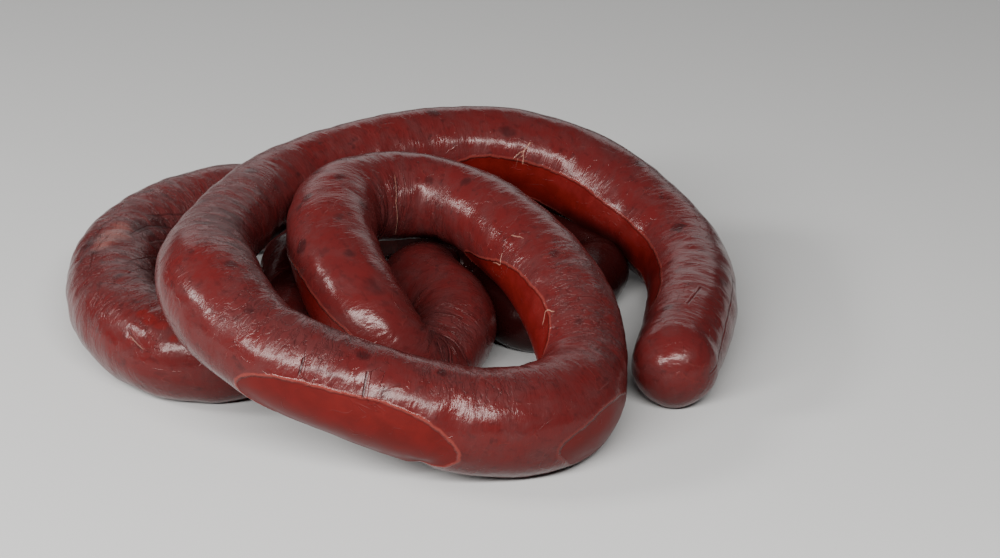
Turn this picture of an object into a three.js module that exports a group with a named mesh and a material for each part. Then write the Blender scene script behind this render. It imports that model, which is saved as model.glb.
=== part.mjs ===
// One long blood sausage in a single casing, laid down as a loose double coil.
// Millimetres, +Z up, the underside on z = 0 and the middle of the footprint over the origin.
import * as THREE from 'three'

// Overall sizes
const SECTIONS = 196 // cross-sections from one end to the other
const SIDES = 20 // corners of one cross-section
const CAP_RINGS = 5 // rings that close each rounded end
const SETTLE = 1.0 // how far the soft casing settles flat where it rests
const TOUCH_GAP = 0.35 // air left where two turns press on each other
const NEAR_LENGTH = 44 // sections closer than this along the casing belong to one bend
const SAME_BEND = 0.3 // and their headings agree at least this much (cosine)
const BEND_FILL = 0.86 // share of a bend's radius that its inner side may fill
const FLAT_DEPTH = 1.3 // depth of the flats left by earlier packing
const FLAT_FADE = 0.22 // part of a route step over which a flat fades out
const LINE_SAMPLES = 4000 // samples that measure the length of the middle line
const PRESS_SAMPLES = 3 // middles tested against each other for every cross-section
const PRESS_MARGIN = 3 // turns farther apart than this do not press on each other
const FACING_TURN = 0.05 // cosine below which a direction looks past another turn
const FACING_BEND = 0.02 // and past another section of the same bend
const FACING_FLAT = 0.5 // and past a pressed flat
const CASING_COLOUR = 0x4b191c

// The route of the middle line, from the free end at the right to the tucked end at the left.
// Each step: right, back, lift of the underside off the table, radius of the casing there.
const OUTER_TURN = [
  [113, -42, 0, 17.5], // free end, lying on the table
  [122, 0, 0, 19],
  [123, 54, 3, 19], // starts to climb
  [100, 97, 10, 21.5],
  [77, 111, 22, 21],
  [43, 112, 36, 18.5], // over the lower turn at the back
  [3, 102, 39, 18],
  [-49, 67, 37, 17.5],
  [-73, -1, 38, 17],
  [-68, -66, 38, 21], // over the lower turn at the left
  [-47, -96, 31, 18.5],
  [-10, -108, 18, 19], // comes down along the front
  [29, -108, 5, 20],
  [53, -101, 0, 21]
]
const INNER_TURN = [
  [69, -86, 0, 20.5], // front right corner, on the table
  [75, -63, 5, 18],
  [71, -30, 15, 19.5],
  [54, 8, 27, 18.5],
  [24, 45, 36, 17.5], // over the short limb in the middle
  [-4, 47, 37, 19],
  [-23, 31, 39, 19],
  [-26, -6, 36, 18.5],
  [-12, -44, 21, 19],
  [2, -50, 5, 18],
  [14, -40, 0, 15.5] // tight fold at the front of the middle
]
const LOWER_TURN = [
  [24, -6, 2, 18], // short limb in the middle
  [9, 27, 4, 18.5], // pressed under the inner turn
  [20, 47, 0, 16],
  [38, 42, 0, 15],
  [46, 20, 0, 14.5],
  [58, 9, 0, 13.5], // turns back under the inner turn
  [70, 18, 0, 14],
  [75, 36, 0, 15],
  [83, 54, 0, 15],
  [86, 68, 0, 14], // doubles back at the right
  [71, 85, 0, 14.5],
  [50, 101, 0, 16],
  [12, 114, 0, 18.5],
  [-27, 118, 0, 19.5],
  [-82, 114, 4, 20.5],
  [-120, 70, 2, 20.5],
  [-121, 20, 0, 20.5], // bulges out at the left
  [-106, -16, 0, 20],
  [-87, -35, 0, 19.5],
  [-66, -36, 0, 18.5],
  [-48, -18, 0, 17.5], // turns in under the upper turns
  [-43, 10, 0, 18],
  [-43, 38, 0, 18],
  [-46, 58, 0, 17] // tucked end
]
const ROUTE = [...OUTER_TURN, ...INNER_TURN, ...LOWER_TURN]

// Pressed flats: first and last route step, and the way they face round the casing in degrees,
// where 0 is the outer side of the coil, 90 the top and 180 the inner side.
const PRESSED_FLATS = [
  { from: 1.6, to: 5.6, facing: 205 },
  { from: 10.1, to: 12.5, facing: -32 },
  { from: 13.7, to: 14.4, facing: -25 },
  { from: 15.2, to: 17.6, facing: 188 },
  { from: 21.2, to: 22.7, facing: -18 }
]

const UP = new THREE.Vector3(0, 0, 1)

// Smooth value through the route's radii at a fractional step.
function radiusAt(step) {
  const last = ROUTE.length - 1
  const i = Math.min(Math.floor(step), last - 1)
  const t = step - i
  const pick = (k) => ROUTE[Math.max(0, Math.min(last, k))][3]
  const [a, b, c, d] = [pick(i - 1), pick(i), pick(i + 1), pick(i + 2)]
  const slopeB = (c - a) / 2
  const slopeC = (d - b) / 2
  const bend = 3 * (c - b) - 2 * slopeB - slopeC
  const twist = slopeB + slopeC - 2 * (c - b)
  return b + slopeB * t + bend * t * t + twist * t * t * t
}

// Cross-sections at even distances along the middle line.
function layOutSections(count) {
  const middles = ROUTE.map(([x, y, lift, radius]) => new THREE.Vector3(x, y, lift + radius - SETTLE))
  const line = new THREE.CatmullRomCurve3(middles, false, 'centripetal')
  line.arcLengthDivisions = LINE_SAMPLES
  const length = line.getLength()
  const sections = []
  for (let k = 0; k <= count; k++) {
    const t = line.getUtoTmapping(k / count)
    const ahead = line.getTangent(t)
    const out = new THREE.Vector3().crossVectors(ahead, UP).normalize()
    const up = new THREE.Vector3().crossVectors(out, ahead)
    const step = t * (ROUTE.length - 1)
    const middle = line.getPoint(t)
    const along = (length * k) / count
    sections.push({ middle, ahead, out, up, step, along, radius: radiusAt(step) })
  }
  return sections
}

// Sections of the same bend, which the casing may not fold into.
function inSameBend(section, other) {
  const apart = Math.abs(other.along - section.along)
  return apart <= NEAR_LENGTH && other.ahead.dot(section.ahead) >= SAME_BEND
}

// Limit set on a direction by the plane of another section in the same bend.
function bendLimit(section, other, direction) {
  const travel = Math.sign(other.along - section.along)
  const toward = travel * direction.dot(other.ahead)
  if (travel === 0 || toward < FACING_BEND) {
    return Infinity
  }
  const room = travel * other.middle.clone().sub(section.middle).dot(other.ahead)
  return (BEND_FILL * room) / toward
}

// Limit set on a direction by another turn that presses against this one.
function touchLimit(section, other, direction) {
  const toOther = other.middle.clone().sub(section.middle)
  const distance = toOther.length()
  const facing = direction.dot(toOther) / distance
  if (facing < FACING_TURN) {
    return Infinity
  }
  const wall = (distance ** 2 + section.radius ** 2 - other.radius ** 2) / (2 * distance)
  return (wall - TOUCH_GAP / 2) / facing
}

// How far the casing reaches from the middle of a section in one direction.
function reach(section, direction, angle, neighbours) {
  let limit = section.radius
  for (const flat of PRESSED_FLATS) {
    const inside = Math.min(section.step - flat.from, flat.to - section.step)
    const fade = THREE.MathUtils.smoothstep(inside, 0, FLAT_FADE)
    const off = Math.cos(angle - THREE.MathUtils.degToRad(flat.facing))
    if (fade > 0 && off > FACING_FLAT) {
      limit = Math.min(limit, (section.radius - FLAT_DEPTH * fade) / off)
    }
  }
  for (const other of neighbours) {
    const rule = inSameBend(section, other) ? bendLimit : touchLimit
    limit = Math.min(limit, rule(section, other, direction))
  }
  return limit
}

// The closed skin: rings of corners along the line, with a rounded cap at each end.
function makeCasing() {
  const sections = layOutSections(SECTIONS)
  const fine = layOutSections(SECTIONS * PRESS_SAMPLES)
  const corners = []
  const addRing = (section, share, push) => {
    const neighbours = fine.filter((other) => {
      return other.middle.distanceTo(section.middle) < section.radius + other.radius + PRESS_MARGIN
    })
    for (let j = 0; j < SIDES; j++) {
      const angle = (2 * Math.PI * (j + 0.5)) / SIDES
      const direction = section.out.clone().multiplyScalar(Math.cos(angle))
      direction.addScaledVector(section.up, Math.sin(angle))
      const corner = section.middle.clone().addScaledVector(section.ahead, push)
      corner.addScaledVector(direction, share * reach(section, direction, angle, neighbours))
      corner.z = Math.max(0, corner.z)
      corners.push(corner)
    }
  }
  const first = sections[0]
  const last = sections[SECTIONS]
  for (let k = 1; k <= CAP_RINGS; k++) {
    const turn = (Math.PI / 2) * (k / (CAP_RINGS + 1))
    addRing(first, Math.sin(turn), -first.radius * Math.cos(turn))
  }
  sections.forEach((section) => addRing(section, 1, 0))
  for (let k = CAP_RINGS; k >= 1; k--) {
    const turn = (Math.PI / 2) * (k / (CAP_RINGS + 1))
    addRing(last, Math.sin(turn), last.radius * Math.cos(turn))
  }
  const rings = corners.length / SIDES
  const startPole = corners.length
  const endPole = startPole + 1
  corners.push(first.middle.clone().addScaledVector(first.ahead, -first.radius))
  corners.push(last.middle.clone().addScaledVector(last.ahead, last.radius))

  const faces = []
  for (let j = 0; j < SIDES; j++) {
    const next = (j + 1) % SIDES
    for (let k = 0; k < rings - 1; k++) {
      const a = k * SIDES + j
      const b = k * SIDES + next
      const c = a + SIDES
      const d = b + SIDES
      faces.push(a, d, b, a, c, d)
    }
    const tail = (rings - 1) * SIDES
    faces.push(startPole, j, next)
    faces.push(endPole, tail + next, tail + j)
  }
  const skin = new THREE.BufferGeometry()
  skin.setAttribute('position', new THREE.Float32BufferAttribute(corners.flatMap((p) => p.toArray()), 3))
  skin.setIndex(faces)
  return skin
}

// Stand the coil with the middle of its footprint over the origin.
function centreFootprint(skin) {
  skin.computeBoundingBox()
  const middle = skin.boundingBox.getCenter(new THREE.Vector3())
  skin.translate(-middle.x, -middle.y, 0)
  skin.computeVertexNormals()
  return skin
}

const casing = new THREE.MeshStandardMaterial({ color: CASING_COLOUR, roughness: 0.38, metalness: 0 })
const sausage = new THREE.Mesh(centreFootprint(makeCasing()), casing)
sausage.name = 'sausage'

const part = new THREE.Group()
part.name = 'coiled_sausage'
part.add(sausage)

export default part
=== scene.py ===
# %% [markdown]
# # One long blood sausage in a loose double coil
#
# The real object is a single blood sausage: almost 1.7 metres of thin natural casing, filled with a
# dark, soft mix. It was packed tight against others, which left smooth red flats with a pale rim, and
# was then laid down in a coil whose upper turns lie on the lower one. This script loads the packed
# model as a fixed frame, makes the casing again with a fine skin, and gives it its finish.

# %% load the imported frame
import math

import bpy
import numpy as np
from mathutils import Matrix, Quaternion, Vector, noise


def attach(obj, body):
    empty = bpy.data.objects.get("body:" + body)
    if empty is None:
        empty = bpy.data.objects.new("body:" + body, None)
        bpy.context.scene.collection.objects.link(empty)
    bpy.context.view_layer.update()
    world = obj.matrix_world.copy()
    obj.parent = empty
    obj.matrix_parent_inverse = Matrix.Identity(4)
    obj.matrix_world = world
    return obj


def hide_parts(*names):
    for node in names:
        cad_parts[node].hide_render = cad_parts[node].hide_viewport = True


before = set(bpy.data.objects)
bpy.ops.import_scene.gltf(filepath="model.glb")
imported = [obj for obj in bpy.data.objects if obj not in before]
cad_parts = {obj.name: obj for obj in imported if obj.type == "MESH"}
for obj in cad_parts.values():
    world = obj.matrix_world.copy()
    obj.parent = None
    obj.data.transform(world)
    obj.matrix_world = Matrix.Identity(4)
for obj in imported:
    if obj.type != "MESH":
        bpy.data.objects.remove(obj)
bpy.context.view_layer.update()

MM = 0.001

# %% [markdown]
# ## Camera
#
# The camera comes first, because everything is judged through it. A circle that lies flat is seen as
# an ellipse, and how narrow the ellipse is tells how high the eye was: 22.7 degrees above the table,
# straight from the front, about a metre away. A long lens keeps the near and far turns almost the
# same size.

# %% camera
AIM = Vector((42.97, 80.47, 0.0)) * MM
EYE_DISTANCE = 1.071
EYE_RISE = math.radians(22.7)

back = Vector((0.0, -math.cos(EYE_RISE), math.sin(EYE_RISE)))
eye = AIM + back * EYE_DISTANCE
bpy.ops.object.camera_add(location=eye, rotation=(math.pi / 2 - EYE_RISE, 0.0, 0.0))
camera = bpy.context.object
camera.name = "table_camera"
camera.data.lens = 85.0
camera.data.sensor_width = 36.0
bpy.context.scene.camera = camera
print("eye, mm:", [round(v / MM) for v in eye])

# %% [markdown]
# ## Route of the middle line
#
# A coil is easiest to describe as a route, the way one would lay it down by hand: from the free end at
# the right, up over the back, down along the front, round the inner turn, and then under itself to the
# tucked end at the left. Each row gives a place on the table, how far the underside is lifted there,
# and the radius of the casing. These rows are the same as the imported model's, so the skin made here
# lies where that one does. A curve object with a bevel could follow them too, but it can't press
# flat where two turns meet, so the sections are laid out in code.

# %% the route, in millimetres: right, back, lift, radius
OUTER_TURN = [
    (113, -42, 0, 17.5),  # free end, lying on the table
    (122, 0, 0, 19),
    (123, 54, 3, 19),  # starts to climb
    (100, 97, 10, 21.5),
    (77, 111, 22, 21),
    (43, 112, 36, 18.5),  # over the lower turn at the back
    (3, 102, 39, 18),
    (-49, 67, 37, 17.5),
    (-73, -1, 38, 17),
    (-68, -66, 38, 21),  # over the lower turn at the left
    (-47, -96, 31, 18.5),
    (-10, -108, 18, 19),  # comes down along the front
    (29, -108, 5, 20),
    (53, -101, 0, 21),
]
INNER_TURN = [
    (69, -86, 0, 20.5),  # front right corner, on the table
    (75, -63, 5, 18),
    (71, -30, 15, 19.5),
    (54, 8, 27, 18.5),
    (24, 45, 36, 17.5),  # over the short limb in the middle
    (-4, 47, 37, 19),
    (-23, 31, 39, 19),
    (-26, -6, 36, 18.5),
    (-12, -44, 21, 19),
    (2, -50, 5, 18),
    (14, -40, 0, 15.5),  # tight fold at the front of the middle
]
LOWER_TURN = [
    (24, -6, 2, 18),  # short limb in the middle
    (9, 27, 4, 18.5),  # pressed under the inner turn
    (20, 47, 0, 16),
    (38, 42, 0, 15),
    (46, 20, 0, 14.5),
    (58, 9, 0, 13.5),  # turns back under the inner turn
    (70, 18, 0, 14),
    (75, 36, 0, 15),
    (83, 54, 0, 15),
    (86, 68, 0, 14),  # doubles back at the right
    (71, 85, 0, 14.5),
    (50, 101, 0, 16),
    (12, 114, 0, 18.5),
    (-27, 118, 0, 19.5),
    (-82, 114, 4, 20.5),
    (-120, 70, 2, 20.5),
    (-121, 20, 0, 20.5),  # bulges out at the left
    (-106, -16, 0, 20),
    (-87, -35, 0, 19.5),
    (-66, -36, 0, 18.5),
    (-48, -18, 0, 17.5),  # turns in under the upper turns
    (-43, 10, 0, 18),
    (-43, 38, 0, 18),
    (-46, 58, 0, 17),  # tucked end
]
ROUTE = np.array(OUTER_TURN + INNER_TURN + LOWER_TURN, float) * MM
SETTLE = 1.0 * MM  # how far the soft casing settles flat on the table
FOOTPRINT_SHIFT = np.array([0.199, -5.052, 0.0]) * MM  # puts the footprint's middle over the origin


def cubic(start, end, slope_start, slope_end, t):
    """A cubic from start to end, with the slope given at each, at 0 <= t <= 1."""
    square = 3 * (end - start) - 2 * slope_start - slope_end
    cube = slope_start + slope_end - 2 * (end - start)
    return start + slope_start * t + square * t**2 + cube * t**3


def smooth_route(points, per_step):
    """Points of a curve through the given ones, which can't overshoot at close points."""
    padded = np.vstack([2 * points[0] - points[1], points, 2 * points[-1] - points[-2]])
    gaps = np.sqrt(np.linalg.norm(np.diff(padded, axis=0), axis=1))
    t = (np.arange(per_step) / per_step)[:, None]
    pieces = []
    for i in range(len(points) - 1):
        a, b, c, d = padded[i:i + 4]
        before, here, after = gaps[i:i + 3]
        slope_b = here * ((b - a) / before - (c - a) / (before + here) + (c - b) / here)
        slope_c = here * ((c - b) / here - (d - b) / (here + after) + (d - c) / after)
        pieces.append(cubic(b, c, slope_b, slope_c, t))
    return np.vstack(pieces + [points[-1:]])


def smooth_value(values, steps):
    """A value of the route at fractional steps."""
    last = len(values) - 1
    i = np.clip(steps.astype(int), 0, last - 1)
    t = steps - i
    a, b, c, d = (values[np.clip(k, 0, last)] for k in (i - 1, i, i + 1, i + 2))
    return cubic(b, c, (c - a) / 2, (d - b) / 2, t)


# %% sections at even distances along the route
RINGS = 1160  # cross-sections along the sausage
SOFTEN_LINE = 4 * MM  # evens out the small kinks at the route's own points
PER_STEP = 60  # points of the curve between two rows of the route


def bell_weights(sigma):
    """Weights of a smoothing window that is sigma wide, and how far it goes to each side."""
    width = int(3 * sigma) + 1
    weights = np.exp(-0.5 * (np.arange(-width, width + 1) / sigma) ** 2)
    return weights / weights.sum(), width


def soften_line(rows, sigma):
    """Smooths along the line and keeps both ends where they are."""
    weights, width = bell_weights(sigma)
    head = 2 * rows[0] - rows[width:0:-1]
    tail = 2 * rows[-1] - rows[-2:-width - 2:-1]
    padded = np.concatenate([head, rows, tail])
    return np.stack([np.convolve(padded[:, k], weights, "valid") for k in range(3)], axis=1)


def unit(vectors):
    """The same directions, one long."""
    return vectors / np.linalg.norm(vectors, axis=-1, keepdims=True)


middles = np.column_stack([ROUTE[:, 0], ROUTE[:, 1], ROUTE[:, 2] + ROUTE[:, 3] - SETTLE])
line = smooth_route(middles, PER_STEP)
way = np.concatenate([[0.0], np.cumsum(np.linalg.norm(np.diff(line, axis=0), axis=1))])
along = np.linspace(0.0, way[-1], RINGS)
step = np.interp(along, way, np.arange(len(line)) / PER_STEP)
spacing = along[1]
middle = np.stack([np.interp(along, way, line[:, k]) for k in range(3)], axis=1)
middle = soften_line(middle, SOFTEN_LINE / spacing) + FOOTPRINT_SHIFT
ahead = unit(np.gradient(middle, axis=0))
out = unit(np.cross(ahead, (0.0, 0.0, 1.0)))
up = np.cross(out, ahead)
radius = smooth_value(ROUTE[:, 3], step)
bend = np.gradient(ahead, axis=0) / spacing  # points to the inner side of a bend, per metre
print(f"length {way[-1]:.3f} m, sections {spacing / MM:.2f} mm apart")

# %% [markdown]
# ## Where the turns press on each other
#
# A soft casing keeps its round section until something stops it: the table, the next turn, or its own
# other half inside a tight bend. Two turns that press on each other meet in a flat face halfway
# between them, so each direction round a section gets a limit from every near turn. Cloth simulation
# could find the same faces, but it would also let the coil slide. The limits are found once for each
# section, and then evened out, because a filled casing has no sharp folds where it leaves a contact.
# They also tell where the next turn is so close that hardly any light gets in; the skin there is painted
# dark as shade.

# %% limits round every section
SIDES = 84  # corners round one section, the first and last of them underneath
TOUCH_GAP = 0.35 * MM  # air left where two turns press on each other
NEAR_LENGTH = 44 * MM  # sections closer than this along the casing belong to one bend
SAME_BEND = 0.3  # and their headings agree at least this much (cosine)
BEND_FILL = 0.9  # share of a bend's radius that its inner side may fill
FACING_TURN = 0.05  # cosine below which a direction looks past another turn
FACING_BEND = 0.02  # and past another section of the same bend
EVEN_OUT = 1.6  # rings and corners over which the limits are evened out
NARROW_GAP = 7 * MM  # half the gap between two turns that still keeps light out
FREE = 1.0  # no limit

facing = np.radians(-90 + 360 * np.arange(SIDES) / SIDES)  # 0 is the outer side, 90 the top
direction = np.cos(facing)[None, :, None] * out[:, None] + np.sin(facing)[None, :, None] * up[:, None]


def limits_of(i):
    """How far the casing may reach from the middle of section i, for every side."""
    others = np.arange(0, RINGS, 2)
    to_other = middle[others] - middle[i]
    apart = np.linalg.norm(to_other, axis=1)
    close = (apart < radius[i] + radius[others] + 2 * NARROW_GAP) & (others != i)
    others, to_other, apart = others[close], to_other[close], apart[close]
    one_bend = (np.abs(along[others] - along[i]) <= NEAR_LENGTH) & (ahead[others] @ ahead[i] >= SAME_BEND)
    toward = direction[i] @ to_other.T / apart
    wall = (apart**2 + radius[i] ** 2 - radius[others] ** 2) / (2 * apart) - TOUCH_GAP / 2
    touch = np.where(toward > FACING_TURN, wall / np.maximum(toward, FACING_TURN), FREE)
    travel = np.sign(others - i)
    leaning = travel * (direction[i] @ ahead[others].T)
    room = travel * np.einsum("nk,nk->n", to_other, ahead[others])
    filled = BEND_FILL * room / np.maximum(leaning, FACING_BEND)
    fold = np.where(leaning > FACING_BEND, filled, FREE)
    return np.where(one_bend, fold, touch).min(axis=1)


limit = np.stack([limits_of(i) for i in range(RINGS)])
# How much painted shade the skin gets from the next turn: 1 where it touches, fading to 0 where the gap
# is wide.
gap_shade = 1 - np.clip((limit - radius[:, None]) / NARROW_GAP, 0.0, 1.0)
print("pressed deepest, mm:", round((radius[:, None] - limit).max() / MM, 1))

# %% evening out
def soften(field, rows, sides):
    """Smooths a field over the skin, round the section and along it."""
    for axis, sigma, mode in ((0, rows, "edge"), (1, sides, "wrap")):
        weights, width = bell_weights(sigma)
        pad = [(0, 0), (0, 0)]
        pad[axis] = (width, width)
        padded = np.pad(field, pad, mode=mode)
        size = field.shape[axis]
        field = sum(w * padded.take(range(k, k + size), axis=axis) for k, w in enumerate(weights))
    return field


reach = soften(np.minimum(radius[:, None], limit), EVEN_OUT, EVEN_OUT)
print("casing radius, mm:", round(reach.min() / MM, 1), "to", round(reach.max() / MM, 1))

# %% [markdown]
# ## Places on the skin
#
# A mark on a sausage is easiest to give by how far it is from the free end, and by the way it faces
# round the casing: 0 is the outer side of the coil, 90 the top and 180 the inner side. Both are turned
# into millimetres over the skin here, so that a spot, a rim or a crease keeps its true shape where the
# casing bends.

# %% distances over the skin
CAPS = 12  # rings in each rounded end
FAR = 99.0  # mm, farther than any mark reaches
cap_turn = np.linspace(0.0, math.pi / 2, CAPS + 1)[:-1]
ring_of_row = np.concatenate([np.zeros(CAPS, int), np.arange(RINGS), np.full(CAPS, RINGS - 1)])
ROWS = len(ring_of_row)
share = np.ones(ROWS)
share[:CAPS] = np.sin(cap_turn)
share[-CAPS:] = np.sin(cap_turn)[::-1]
push = np.zeros(ROWS)
push[:CAPS] = -radius[0] * np.cos(cap_turn)
push[-CAPS:] = radius[-1] * np.cos(cap_turn)[::-1]
row_along = along[ring_of_row] / MM
row_along[:CAPS] = -radius[0] / MM * (math.pi / 2 - cap_turn)
row_along[-CAPS:] += radius[-1] / MM * (math.pi / 2 - cap_turn)[::-1]
row_radius = radius[ring_of_row] / MM
facing_degrees = np.degrees(facing)


def flat_place(middle_facing):
    """Every skin point as (mm along, mm round), measured from one facing."""
    turned = (facing_degrees - middle_facing + 180) % 360 - 180
    around = np.radians(turned)[None, :] * row_radius[:, None]
    return np.broadcast_to(row_along[:, None], around.shape), around


def to_flat(points, middle_facing):
    """Marks given as (mm along, facing) in the same plane as flat_place."""
    marks = np.array(points, float)
    turned = (marks[:, 1] - middle_facing + 180) % 360 - 180
    size = np.interp(marks[:, 0], along / MM, radius / MM)
    return np.column_stack([marks[:, 0], np.radians(turned) * size])


def beside_stretch(x, y, start, end):
    """Distance in mm to one straight stretch, and to the line it lies on, signed by its side."""
    ax, ay = start
    dx, dy = end - start
    t = np.clip(((x - ax) * dx + (y - ay) * dy) / (dx * dx + dy * dy), 0, 1)
    away = np.hypot(x - ax - t * dx, y - ay - t * dy)
    across = ((x - ax) * dy - (y - ay) * dx) / math.hypot(dx, dy)
    return away, across


# %% [markdown]
# ## Flats left by packing
#
# Where the sausage lay tight against another one, the skin is smooth, a little sunk and clearly
# redder, and the skin piles up in a thin pale rim around it. The rim is the sharpest line on the whole
# object, so each flat is drawn as a closed outline on the skin. What is kept for every point is its
# distance to that outline, positive inside: both the dent in the mesh and the crisp colour edge in
# the material are made from that one distance.

# %% outlines of the flats: mm from the free end, facing
FLATS = [
    # front of the coil, low on the outer side
    [(499, -22), (502, -4), (509, 8), (519, 14), (533, 18), (546, 22), (558, 17), (567, 6), (573, -8),
     (575, -24), (571, -44), (560, -62), (542, -72), (517, -66), (502, -44)],
    # inner side of the long outer arm
    [(240, 190), (228, 177), (207, 174), (188, 170), (169, 162), (149, 155), (130, 150), (111, 148),
     (86, 144), (62, 136), (44, 132), (30, 140), (26, 160), (40, 176), (70, 184), (100, 192),
     (130, 202), (160, 214), (190, 224), (215, 224), (234, 210)],
    # inner side of the inner turn
    [(750, 206), (736, 190), (720, 167), (707, 154), (692, 145), (680, 137), (666, 134), (654, 142),
     (642, 158), (640, 190), (657, 222), (692, 236), (727, 230), (746, 220)],
    # left side of the limb that runs down to the tight fold
    [(864, -28), (872, -6), (883, 8), (895, 16), (908, 19), (920, 18), (929, 2), (929, -24),
     (914, -52), (890, -60), (870, -48)],
    # front right corner
    [(609, -34), (605, -14), (607, -1), (614, 10), (622, 18), (632, 14), (639, -8), (635, -34),
     (622, -48), (613, -44)],
]


def rounded_outline(points, per_side=8):
    """A closed smooth outline through the given points."""
    corners = np.array(points, float)
    a, b, c, d = (np.roll(corners, k, axis=0) for k in (1, 0, -1, -2))
    t = np.linspace(0, 1, per_side, endpoint=False)[:, None, None]
    curve = cubic(b, c, (c - a) / 2, (d - b) / 2, t)
    return curve.transpose(1, 0, 2).reshape(-1, 2)


def inside_distance(points):
    """Distance in mm to a closed outline, positive inside it."""
    outline = rounded_outline(points)
    centre = outline[:, 1].mean()
    closed = np.vstack([outline, outline[:1]])
    x, y = flat_place(centre)
    marks = to_flat(closed, centre)
    inside = np.zeros(x.shape, bool)
    nearest = np.full(x.shape, FAR)
    for start, end in zip(marks[:-1], marks[1:]):
        nearest = np.minimum(nearest, beside_stretch(x, y, start, end)[0])
        (ax, ay), (bx, by) = start, end
        crosses = (ay > y) != (by > y)
        at = ax + (y - ay) * (bx - ax) / np.where(by == ay, 1.0, by - ay)
        inside ^= crosses & (x < at)
    return np.where(inside, nearest, -nearest)


RIM_STRENGTH = np.array([1.0, 0.65, 0.8, 0.65, 0.4])  # how clearly the rim of each flat shows
EDGE_REACH = (-8.0, 12.0)  # mm outside and inside an outline where the distance still counts
to_edges = np.array([inside_distance(outline) for outline in FLATS])
rim_strength = RIM_STRENGTH[to_edges.argmax(axis=0)]
flat_edge = np.clip(to_edges.max(axis=0), *EDGE_REACH)
print("skin inside a flat:", f"{100 * (flat_edge > 0).mean():.1f} %")

# %% [markdown]
# ## Creases, folds and lumps
#
# The filling isn't even, so the casing has broad soft lumps. Inside every bend the skin is too long
# and gathers into short folds across the sausage; outside it is stretched smooth. A few creases and
# slits are marks of their own: the long one beside the free end, two short ones across the front, the
# gathers at the tight fold, and the folds on the left bulge. A few pale threads of the casing lie on
# the skin. Broad shapes are moved in the mesh. What is finer than about three millimetres is left to
# the bump in the material.

# %% creases: depth and half width in mm, darkness (painted shade in the folds, the dark filling at the slits), then places along each (mm along, facing)
CREASES = [
    # beside the free end
    (0.35, 1.6, 0.5, [(64, 26), (45, 29), (25, 27), (8, 16), (-8, 6)]),
    (0.20, 1.2, 0.5, [(20, 84), (34, 76)]),
    # slits across the front
    (0.25, 1.1, 1.0, [(516.5, 40), (517, 27)]),
    (0.40, 1.3, 1.0, [(538.5, 46), (539.5, 26)]),
    # notch under the front flat
    (1.40, 3.0, 0.0, [(565, -52), (566, -66), (565, -84)]),
    # across the inner turn
    (0.35, 1.5, 0.7, [(810, 140), (813, 174), (808, 210)]),
    # gathers at the tight fold
    (0.60, 1.8, 0.6, [(949, 82), (951, 52), (949, 28)]),
    (0.50, 1.5, 0.5, [(955, 74), (958, 46), (958, 24)]),
    (0.45, 1.4, 0.4, [(942, 70), (944, 42)]),
    # folds on the left bulge
    (0.90, 2.4, 0.6, [(1411, 162), (1421, 144), (1436, 126), (1452, 112)]),
    (0.80, 2.2, 0.6, [(1400, 150), (1412, 134), (1426, 118)]),
    (0.70, 2.2, 0.5, [(1424, 168), (1434, 152), (1448, 138)]),
    (0.80, 2.0, 0.6, [(1444, 76), (1456, 62), (1467, 48)]),
    (0.70, 2.0, 0.5, [(1436, 88), (1444, 70), (1452, 56)]),
    (0.60, 2.0, 0.5, [(1456, 84), (1468, 70), (1480, 60)]),
    (0.60, 2.2, 0.5, [(1482, 112), (1473, 130), (1458, 152)]),
    (0.50, 2.2, 0.4, [(1498, 100), (1490, 120), (1480, 142)]),
    (0.50, 2.0, 0.4, [(1500, 66), (1508, 84), (1504, 104)]),
    (0.50, 1.6, 0.5, [(1532, 36), (1537, 22)]),
]
LINE_REACH = 6.0  # mm beside a crease where it still counts
PAST_END = 1.92  # mm past a crease's end where it is gone
END_FADE = 1.2  # mm over which it fades there


def beside_line(marks):
    """Signed distance in mm to a line of marks, and 1 along the line, fading out at its ends."""
    x, y = flat_place(marks[0][1])
    flat = to_flat(marks, marks[0][1])
    nearest = np.full(x.shape, FAR)
    beside = np.full(x.shape, FAR)
    for start, end in zip(flat[:-1], flat[1:]):
        away, across = beside_stretch(x, y, start, end)
        beside = np.where(away < nearest, across, beside)
        nearest = np.minimum(nearest, away)
    past_end = np.abs(nearest - np.abs(beside))
    return beside, np.clip((PAST_END - past_end) / END_FADE, 0, 1) * (nearest < LINE_REACH)


def nearest_line(lines):
    """Signed distance in mm to the nearest of several lines, and that line's own strength."""
    nearest = np.full((ROWS, SIDES), 1.5 * LINE_REACH)
    strength = np.zeros((ROWS, SIDES))
    for strong, marks in lines:
        beside, here = beside_line(marks)
        nearer = (here > 0) & (np.abs(beside) < np.abs(nearest))
        nearest = np.where(nearer, beside, nearest)
        strength = np.where(nearer, here * strong, strength)
    return nearest, strength


# The darkness paints shade into the folds and creases, and the dark filling into the slits.
dark_lines = [(darkness, marks) for depth, half_width, darkness, marks in CREASES]
crease_beside, crease_here = nearest_line(dark_lines)
crease_depth = np.zeros((ROWS, SIDES))
for depth, half_width, darkness, marks in CREASES:
    beside, here = beside_line(marks)
    crease_depth = np.maximum(crease_depth, depth * here * np.exp(-((beside / half_width) ** 2)))
print("creases:", len(CREASES), "deepest, mm:", round(crease_depth.max(), 1))

# %% pale threads of the casing: strength, then places along each
THREADS = [
    (1.0, [(811.5, 138), (814.0, 172), (809.0, 214)]),  # ridge across the inner turn
    (0.8, [(204, 148), (206, 160), (205, 172)]),  # forked thread on the long outer arm
    (0.6, [(206, 160), (209, 169)]),
    (0.8, [(671, 128), (674, 135), (670, 143)]),
    (0.7, [(720, 160), (718, 168), (723, 174)]),
    (0.5, [(719, 124), (722, 129)]),
    (0.5, [(899, 132), (902, 138)]),
    (0.4, [(1534, 30), (1537, 24)]),
]
thread_beside, thread_here = nearest_line(THREADS)

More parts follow.
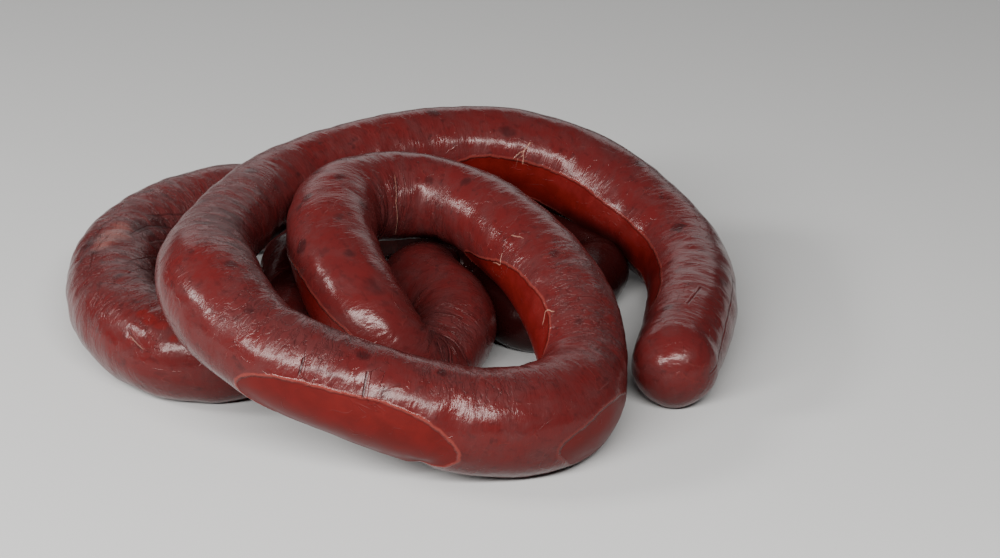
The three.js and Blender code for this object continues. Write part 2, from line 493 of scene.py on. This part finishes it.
# %% places in the straightened sausage
around = np.array([np.cos(facing), np.sin(facing)]).T
straight = np.zeros((ROWS, SIDES, 3))
straight[:, :, :2] = around[None] * (share * row_radius)[:, None, None] * MM
straight[:, :, 2] = (along[ring_of_row] + push)[:, None]


def noise_field(scale, seed, across=1.0):
    """Smooth noise over the straightened sausage, in waves per metre; across < 1 draws it out round."""
    shaped = straight * np.array([across, across, 1.0]) * scale + seed
    values = [noise.noise(Vector(p)) for p in shaped.reshape(-1, 3)]
    return np.array(values).reshape(ROWS, SIDES)


def rise(value, low, high):
    """0 below low, 1 above high, and smooth between."""
    t = np.clip((value - low) / (high - low), 0, 1)
    return t * t * (3 - 2 * t)


# %% where the skin is crumpled
GATHER_BEND = (0.18, 0.75)  # casing radius over bend radius, where gathering starts and is full
CREPE_PATCHES = [  # mm along, facing, length, width in mm
    (512, 84, 34, 12),
    (395, 105, 46, 16),
    (680, 88, 30, 12),
    (655, 62, 26, 12),
    (1425, 125, 55, 26),
    (1462, 66, 36, 18),
    (1505, 92, 40, 22),
    (430, 118, 60, 16),
    (948, 55, 12, 12),
    (966, 90, 16, 12),
    (580, 70, 26, 10),
]
inner_side = np.einsum("rk,rsk->rs", bend, direction)[ring_of_row] * (row_radius * MM)[:, None]
gather = rise(inner_side, *GATHER_BEND) * share[:, None]
crepe = 0.75 * gather
for at, looks, length, width in CREPE_PATCHES:
    x, y = flat_place(looks)
    crepe = np.maximum(crepe, np.exp(-(((x - at) / length) ** 2) - (y / width) ** 2))
broken_up = 0.35 * noise_field(scale=60, seed=3.7)
crepe = np.clip(crepe + broken_up, 0, 1) * rise(-flat_edge, -1.0, 1.5)

# %% relief in mm, outwards: broad lumps, smaller dimples, folds, flats with their rims
FLAT_DEPTH = 0.50
RIM_HEIGHT = 0.26
RIM_WIDTH = 1.3
lumps = 0.50 * noise_field(scale=22, seed=11.3) + 0.52 * noise_field(scale=70, seed=5.1)
dimples = noise_field(scale=150, seed=2.9, across=0.75)
folds = noise_field(scale=240, seed=8.2, across=0.26)
fold_relief = (0.30 * folds - 0.95 * np.abs(folds) + 0.40 * dimples) * crepe + 0.55 * folds * gather
sunk = FLAT_DEPTH * rise(flat_edge, 0.0, 2.6)
rim = RIM_HEIGHT * rim_strength * np.exp(-(((flat_edge + 0.5) / RIM_WIDTH) ** 2))
calm = rise(-flat_edge, -1.5, 1.0)
relief = (lumps + 0.34 * dimples + fold_relief) * (0.25 + 0.75 * calm) - sunk + rim - crease_depth
print("relief, mm:", round(relief.min(), 2), "to", round(relief.max(), 2))

# %% [markdown]
# ## The casing
#
# A sausage casing is one sheet rolled into a tube and drawn together at both ends, and it is made here
# the same way: a flat grid is added, and every point of it is moved to its place round the route. The
# grid brings a clean UV map with it, along in one direction and round in the other. Its two long edges
# meet underneath, where a merge closes them, and its short edges shrink to the two ends.

# %% a flat sheet
bpy.ops.object.select_all(action="DESELECT")
bpy.ops.mesh.primitive_grid_add(x_subdivisions=ROWS - 1, y_subdivisions=SIDES, size=1.0, calc_uvs=True)
sausage = bpy.context.object
sausage.name = "blood_sausage"
sheet = np.empty(len(sausage.data.vertices) * 3)
sausage.data.vertices.foreach_get("co", sheet)
sheet = sheet.reshape(-1, 3)
row = np.rint((sheet[:, 0] + 0.5) * (ROWS - 1)).astype(int)
side = np.rint((sheet[:, 1] + 0.5) * SIDES).astype(int) % SIDES
print("sheet:", row.max() + 1, "rows,", len(sheet), "points")

# %% roll it round the route
PRESS_IN = 0.15 * MM  # how far relief may stand into the air between two turns
EVEN_RELIEF = 0.55  # rings and corners over which the relief is evened out
reach_here = reach[ring_of_row] + relief * MM * share[:, None]
reach_here = np.minimum(reach_here, limit[ring_of_row] + PRESS_IN)
reach_here = soften(reach_here, EVEN_RELIEF, EVEN_RELIEF)
skin = middle[ring_of_row][:, None] + ahead[ring_of_row][:, None] * push[:, None, None]
skin = skin + direction[ring_of_row] * (reach_here * share[:, None])[:, :, None]
skin[0] = skin[0].mean(axis=0)
skin[-1] = skin[-1].mean(axis=0)
skin[:, :, 2] = np.maximum(skin[:, :, 2], 0.0)
sausage.data.vertices.foreach_set("co", skin[row, side].ravel())
print("highest point, mm:", round(skin[:, :, 2].max() / MM, 1))

# %% [markdown]
# ## What the material needs to know
#
# Noise alone would spread marks evenly, but a real skin has its marks in places of their own. Dark
# blotches, the pale patch and the moist nick are given by place and size. Shade is painted as well:
# gaps between the turns are black all the way down, so the skin close to another turn and the run that
# lies under the others are painted nearly black. Each of these becomes an attribute, one number for
# every point of the mesh, which the material reads. Painting a texture would work too, but it would
# fix how fine the marks can be.

# %% attributes
def keep(name, field, kind="FLOAT"):
    """Stores a field of the skin as an attribute of the mesh."""
    layer = sausage.data.attributes.new(name, kind, "POINT")
    socket = "vector" if kind == "FLOAT_VECTOR" else "value"
    layer.data.foreach_set(socket, np.ascontiguousarray(field[row, side], dtype=np.float32).ravel())


def spots(marks):
    """Soft round marks, each given as mm along, facing, size in mm."""
    total = np.zeros((ROWS, SIDES))
    for at, looks, size in marks:
        x, y = flat_place(looks)
        total = np.maximum(total, np.exp(-(((x - at) ** 2 + y**2) / size**2) ** 1.5))
    return total


# %% marks of their own: mm along, facing, size in mm
DARK_BLOTCHES = [
    # outer turn
    (16, 110, 3.6), (96, 104, 3.6), (150, 80, 3.4), (214, 136, 4.0), (246, 100, 4.2), (352, 96, 3.6),
    (390, 70, 4.0), (436, 92, 3.4), (455, 112, 3.2), (470, 96, 3.0), (492, 70, 3.0), (535, 70, 3.0),
    (546, 33, 3.4), (564, 78, 2.6), (602, 96, 3.0),
    # inner turn
    (660, 96, 2.8), (700, 100, 3.4), (767, 114, 3.4), (788, 136, 3.2), (836, 60, 3.6), (845, 100, 3.4),
    (858, 60, 3.6), (875, 96, 3.0), (883, 36, 3.6), (897, 88, 3.4), (911, 86, 4.6), (930, 100, 3.0),
    # lower turn
    (1110, 70, 4.0), (1340, 70, 4.5), (1426, 136, 7.0), (1440, 122, 8.0), (1458, 60, 5.0),
    (1500, 84, 3.4),
]
PALE_PATCH = [(1455, 92, 8.0), (1460, 84, 7.0), (1448, 98, 6.0), (1466, 78, 5.0)]
MOIST_NICK = [(1532, 64, 4.0), (1536, 59, 4.0), (1541, 55, 3.2), (1546, 42, 2.6)]
EVEN_NARROW = 3.0  # rings and corners over which the painted shade of a tight gap is evened out

# The run goes under the inner turn between these rows of the route, comes out, and ends tucked in.
GOES_UNDER = (26.1, 27.2)
COMES_OUT = (35.6, 37.0)
TUCKS_IN = (44.6, 46.0)
row_step = step[ring_of_row]
# Painted shade: nearly black under the other turns and where another turn is close.
under = rise(row_step, *GOES_UNDER) * (1 - rise(row_step, *COMES_OUT)) + rise(row_step, *TUCKS_IN)
painted_shade = np.maximum(soften(gap_shade, EVEN_NARROW, EVEN_NARROW)[ring_of_row], under[:, None])

# %% store them
keep("skin_place", straight, "FLOAT_VECTOR")
keep("flat_edge", flat_edge)
keep("rim_strength", rim_strength)
keep("crease_beside", crease_beside)
keep("crease_here", crease_here)
keep("gap_shade", painted_shade)
keep("thread_beside", thread_beside)
keep("thread_here", thread_here)
keep("crepe", crepe)
keep("blotch", spots(DARK_BLOTCHES))
keep("pale_skin", spots(PALE_PATCH))
keep("moist_nick", spots(MOIST_NICK))
print("attributes:", len(sausage.data.attributes))

# %% close the seam and the ends
SAME_POINT = 0.02 * MM
bpy.ops.object.mode_set(mode="EDIT")
bpy.ops.mesh.select_all(action="SELECT")
bpy.ops.mesh.remove_doubles(threshold=SAME_POINT)
bpy.ops.mesh.normals_make_consistent(inside=False)
bpy.ops.object.mode_set(mode="OBJECT")
bpy.ops.object.shade_smooth()
triangles = sum(len(p.vertices) - 2 for p in sausage.data.polygons)
print("casing:", triangles, "triangles")
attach(sausage, "root")
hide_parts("sausage")

# %% [markdown]
# ## The finish of the casing
#
# Blood sausage is maroon, not red: the filling is nearly black-brown, and the damp casing over it
# scatters a little grey-purple light. Close up it is mottled, with darker spots where fat or air sits
# under the skin, and crossed by fine wrinkles that break a highlight into streaks. Everything is
# read from the straightened sausage, so wrinkles run across the casing wherever it turns. The base
# colours are very dark and red as numbers, because the view transform lightens and greys them.

# %% small helpers for shader nodes
def add(tree, kind, **values):
    """Adds a node. Each value is a setting or an input of it, by name, or an input by number, as i0.

    The value of an input may be a number, a colour, or another node's output.
    """
    made = tree.nodes.new(kind)
    for name, value in values.items():
        if hasattr(made, name):
            setattr(made, name, value)
            continue
        by_number = name[0] == "i" and name[1:].isdigit()
        socket = made.inputs[int(name[1:]) if by_number else name.replace("_", " ")]
        if isinstance(value, bpy.types.NodeSocket):
            tree.links.new(value, socket)
        else:
            socket.default_value = value
    return made


def calc(tree, operation, a, b=0.0, c=0.0):
    """A Math node's result."""
    return add(tree, "ShaderNodeMath", operation=operation, i0=a, i1=b, i2=c).outputs[0]


def between(tree, value, low, high, to_low=0.0, to_high=1.0):
    """Maps a value smoothly from one range to another."""
    made = add(tree, "ShaderNodeMapRange", interpolation_type="SMOOTHSTEP", Value=value)
    for socket, number in zip(("From Min", "From Max", "To Min", "To Max"), (low, high, to_low, to_high)):
        made.inputs[socket].default_value = number
    return made.outputs["Result"]


def near_zero(tree, value, full, gone):
    """1 where a value is closer to zero than full, on both sides, and 0 farther away than gone."""
    return between(tree, calc(tree, "ABSOLUTE", value), full, gone, 1.0, 0.0)


def blend_colour(tree, amount, under, over):
    """Puts one colour over another."""
    made = add(tree, "ShaderNodeMix", data_type="RGBA")
    for index, value in ((0, amount), (6, under), (7, over)):
        if isinstance(value, bpy.types.NodeSocket):
            tree.links.new(value, made.inputs[index])
        else:
            made.inputs[index].default_value = value
    return made.outputs[2]


def stored(tree, name):
    """An attribute of the mesh."""
    return add(tree, "ShaderNodeAttribute", attribute_name=name)


def noise_of(tree, place, scale, detail=3.0, roughness=0.55, distortion=0.0):
    """Noise over the straightened sausage; scale is in waves per metre."""
    made = add(tree, "ShaderNodeTexNoise", Vector=place, Scale=scale, Detail=detail)
    made.inputs["Roughness"].default_value = roughness
    made.inputs["Distortion"].default_value = distortion
    return made.outputs["Fac"]


# %% base colour of the casing
MAROON = (0.067, 0.0088, 0.0088, 1)
BLOOD_RED = (0.073, 0.0080, 0.0078, 1)
GREY_PURPLE = (0.062, 0.0150, 0.0148, 1)
NEAR_BLACK = (0.016, 0.0050, 0.0055, 1)
FLAT_RED = (0.086, 0.0028, 0.0022, 1)
FLAT_DEEP = (0.068, 0.0024, 0.0018, 1)
RIM_RED = (0.150, 0.026, 0.020, 1)
THREAD = (0.40, 0.21, 0.15, 1)
# painted shade in the gaps between the turns and under them
PAINTED_SHADE_DARK = (0.010, 0.0012, 0.0012, 1)
PALE_SKIN = (0.160, 0.062, 0.052, 1)
MOIST_RED = (0.120, 0.006, 0.005, 1)

casing = bpy.data.materials.new("damp_casing")
casing.use_nodes = True
tree = casing.node_tree
shader = tree.nodes["Principled BSDF"]
place = stored(tree, "skin_place").outputs["Vector"]
crumple = stored(tree, "crepe").outputs["Fac"]
edge = stored(tree, "flat_edge").outputs["Fac"]

broad = noise_of(tree, place, scale=30.0)
mottle = noise_of(tree, place, scale=110.0, detail=5.0, roughness=0.62, distortion=0.3)
flecks = noise_of(tree, place, scale=340.0)
colour = blend_colour(tree, between(tree, broad, 0.36, 0.64), MAROON, BLOOD_RED)
veil = calc(tree, "ADD", mottle, calc(tree, "MULTIPLY", crumple, 0.16))
colour = blend_colour(tree, between(tree, veil, 0.38, 0.74, 0.0, 0.85), colour, GREY_PURPLE)
colour = blend_colour(tree, between(tree, flecks, 0.52, 0.72, 0.0, 0.30), colour, NEAR_BLACK)

# %% lines drawn out round the casing, and painted shade at the bottom of the wrinkles
def across_casing(across, scale, detail, distortion=0.0):
    """Noise drawn out round the casing, so its lines run across the sausage."""
    turned = add(tree, "ShaderNodeVectorMath", operation="MULTIPLY", i0=place, i1=(across, across, 1.0))
    return noise_of(tree, turned.outputs[0], scale, detail, 0.6, distortion)


def thin_line(value, width):
    """1 where a noise passes its middle value, which draws a thin wandering line."""
    return near_zero(tree, calc(tree, "SUBTRACT", value, 0.5), 0.0, width)


streaks = across_casing(0.22, scale=1300.0, detail=2.0)
wrinkle = across_casing(0.34, scale=330.0, detail=3.0, distortion=0.6)
fold = across_casing(0.42, scale=150.0, detail=2.0, distortion=0.5)
groove = calc(tree, "MULTIPLY", thin_line(wrinkle, 0.055), between(tree, crumple, 0.12, 0.60))
vein = thin_line(noise_of(tree, place, scale=48.0, detail=2.0, roughness=0.5, distortion=0.6), 0.010)
vein = calc(tree, "MULTIPLY", vein, between(tree, flecks, 0.46, 0.56))
# Painted shade at the bottom of the wrinkle grooves.
colour = blend_colour(tree, calc(tree, "MULTIPLY", groove, 0.22), colour, NEAR_BLACK)
colour = blend_colour(tree, calc(tree, "MULTIPLY", vein, 0.14), colour, RIM_RED)

# %% dark spots, pale and moist places
wander = noise_of(tree, place, scale=300.0, detail=2.0)
spot = noise_of(tree, place, scale=130.0, roughness=0.6)
colour = blend_colour(tree, between(tree, spot, 0.61, 0.74, 0.0, 0.55), colour, NEAR_BLACK)
blotch = calc(tree, "MULTIPLY_ADD", spot, 1.6, stored(tree, "blotch").outputs["Fac"])
colour = blend_colour(tree, between(tree, blotch, 1.15, 1.80, 0.0, 0.62), colour, NEAR_BLACK)
pale = calc(tree, "MULTIPLY_ADD", mottle, 0.8, stored(tree, "pale_skin").outputs["Fac"])
colour = blend_colour(tree, between(tree, pale, 0.65, 1.50, 0.0, 0.60), colour, PALE_SKIN)
moist = calc(tree, "MULTIPLY_ADD", wander, 0.5, stored(tree, "moist_nick").outputs["Fac"])
colour = blend_colour(tree, between(tree, moist, 0.75, 1.20, 0.0, 0.45), colour, MOIST_RED)

# %% flats, and the pale rim around them
RIM_OFFSET = 0.4  # mm that the middle of the rim lies outside the edge
uneven = calc(tree, "MULTIPLY_ADD", noise_of(tree, place, scale=260.0), 1.8, -0.9)
edge = calc(tree, "ADD", edge, uneven)  # wanders up to 0.9 mm to each side
in_flat = between(tree, edge, 0.0, 0.6)
flat_colour = blend_colour(tree, between(tree, mottle, 0.35, 0.65), FLAT_DEEP, FLAT_RED)
colour = blend_colour(tree, in_flat, colour, flat_colour)
on_rim = near_zero(tree, calc(tree, "ADD", edge, RIM_OFFSET), 0.20, 0.95)
on_rim = calc(tree, "MULTIPLY", on_rim, stored(tree, "rim_strength").outputs["Fac"])
colour = blend_colour(tree, calc(tree, "MULTIPLY", on_rim, 0.80), colour, RIM_RED)

# %% creases: a dark line, painted shade in the folds and the dark filling at the slits, with a lip along one side of it
LIP_OFFSET = 0.95  # mm beside the slit
beside = stored(tree, "crease_beside").outputs["Fac"]
here = stored(tree, "crease_here").outputs["Fac"]
slit_and_fold_shade = calc(tree, "MULTIPLY", near_zero(tree, beside, 0.05, 0.60), here)
lip = near_zero(tree, calc(tree, "ADD", beside, LIP_OFFSET), 0.10, 0.70)
lip = calc(tree, "MULTIPLY", lip, here)
# Painted shade in the folds and creases, and the dark filling where the casing is slit.
colour = blend_colour(tree, calc(tree, "MULTIPLY", slit_and_fold_shade, 0.80), colour, NEAR_BLACK)

# %% pale threads, and painted shade where hardly any light gets in
THREAD_SWING = 0.8  # mm that a thread wanders to each side of its line
off_thread = stored(tree, "thread_beside").outputs["Fac"]
off_thread = calc(tree, "MULTIPLY_ADD", wander, 2 * THREAD_SWING, off_thread)
thread = near_zero(tree, calc(tree, "SUBTRACT", off_thread, THREAD_SWING), 0.06, 0.34)
thread = calc(tree, "MULTIPLY", thread, stored(tree, "thread_here").outputs["Fac"])
colour = blend_colour(tree, calc(tree, "MULTIPLY", thread, 0.75), colour, THREAD)
# Painted shade: the skin near another turn and the run under the others go nearly black.
painted_gap_shade = between(tree, stored(tree, "gap_shade").outputs["Fac"], 0.45, 1.00, 0.0, 0.90)
colour = blend_colour(tree, painted_gap_shade, colour, PAINTED_SHADE_DARK)
tree.links.new(colour, shader.inputs["Base Color"])

# %% bump: streaks, wrinkles, folds and flecks, calm inside the flats; then single marks
BUMP_STRENGTH = 0.75
BUMP_HEIGHT = 0.6 * MM
height = calc(tree, "MULTIPLY", streaks, between(tree, broad, 0.38, 0.60, 0.12, 0.30))
height = calc(tree, "MULTIPLY_ADD", wrinkle, between(tree, crumple, 0.0, 0.8, 0.55, 1.20), height)
height = calc(tree, "MULTIPLY_ADD", fold, between(tree, crumple, 0.0, 0.8, 1.10, 2.60), height)
height = calc(tree, "MULTIPLY_ADD", flecks, 0.26, height)
height = calc(tree, "MULTIPLY_ADD", groove, -0.35, height)
height = calc(tree, "MULTIPLY", height, between(tree, edge, -0.3, 0.8, 1.0, 0.12))
height = calc(tree, "MULTIPLY_ADD", on_rim, 0.30, height)
height = calc(tree, "MULTIPLY_ADD", vein, 0.20, height)
height = calc(tree, "MULTIPLY_ADD", slit_and_fold_shade, -0.90, height)
height = calc(tree, "MULTIPLY_ADD", lip, 0.70, height)
height = calc(tree, "MULTIPLY_ADD", thread, 0.60, height)
bump = add(tree, "ShaderNodeBump", Strength=BUMP_STRENGTH, Distance=BUMP_HEIGHT, Height=height)
tree.links.new(bump.outputs["Normal"], shader.inputs["Normal"])

# %% gloss: damp skin, duller in the flats and folds, wet at the nick
gloss = calc(tree, "MULTIPLY_ADD", crumple, 0.08, between(tree, mottle, 0.3, 0.7, 0.17, 0.28))
gloss = calc(tree, "MULTIPLY_ADD", in_flat, 0.24, gloss)
gloss = calc(tree, "MULTIPLY_ADD", stored(tree, "moist_nick").outputs["Fac"], -0.12, gloss)
tree.links.new(gloss, shader.inputs["Roughness"])
shader.inputs["IOR"].default_value = 1.42
shader.inputs["Specular IOR Level"].default_value = 0.26
shader.inputs["Specular Tint"].default_value = (1.0, 0.80, 0.76, 1)
shader.inputs["Coat Weight"].default_value = 0.05
shader.inputs["Coat Roughness"].default_value = 0.18
sausage.data.materials.clear()
sausage.data.materials.append(casing)
print("casing material:", len(tree.nodes), "nodes")

# %% [markdown]
# ## Floor and light
#
# Damp skin shows its lights as streaks, so the streaks tell where the lights stood. A long narrow
# window above the camera, lower at its left end, draws the streak along the front. A small window at
# the left draws the one on the inner turn, and a pale wall behind gives the far edges a soft line.
# The floor is plain and pale.

# %% floor
PAINT = (0.48, 0.475, 0.465, 1)
bpy.ops.object.select_all(action="DESELECT")
bpy.ops.mesh.primitive_plane_add(size=8.0, location=(0, 0, 0))
floor = bpy.context.object
floor.name = "floor"
plain = bpy.data.materials.new("plain_floor")
plain.use_nodes = True
matt = plain.node_tree.nodes["Principled BSDF"]
matt.inputs["Base Color"].default_value = PAINT
matt.inputs["Roughness"].default_value = 0.9
floor.data.materials.append(plain)

# %% lights
COIL_MIDDLE = Vector((0, 0, 30)) * MM
SKY = (0.95, 0.97, 1.0, 1)
SKY_STRENGTH = 0.07


def soft_light(name, azimuth, rise_degrees, distance, width, height, power, tilt=0):
    """A soft light aimed at the coil; azimuth 0 is the camera's side, minus is left. Metres, watts."""
    a, e = math.radians(azimuth), math.radians(rise_degrees)
    away = Vector((math.sin(a) * math.cos(e), -math.cos(a) * math.cos(e), math.sin(e)))
    bpy.ops.object.light_add(type="AREA", location=COIL_MIDDLE + away * distance)
    lamp = bpy.context.object
    lamp.name = name
    tilted = Quaternion((0, 0, 1), math.radians(tilt))
    lamp.rotation_euler = ((-away).to_track_quat("-Z", "Y") @ tilted).to_euler()
    lamp.data.shape = "RECTANGLE"
    lamp.data.size = width
    lamp.data.size_y = height
    lamp.data.energy = power


soft_light("key_window", azimuth=-11, rise_degrees=36, distance=1.3, width=1.75, height=0.18,
           power=52, tilt=15)
soft_light("left_window", azimuth=-84, rise_degrees=30, distance=1.3, width=0.34, height=0.22,
           power=11)
soft_light("wall_behind", azimuth=180, rise_degrees=20, distance=1.9, width=2.0, height=0.8,
           power=5)
world = bpy.data.worlds.new("white_studio")
world.use_nodes = True
sky = world.node_tree.nodes["Background"]
sky.inputs["Color"].default_value = SKY
sky.inputs["Strength"].default_value = SKY_STRENGTH
bpy.context.scene.world = world
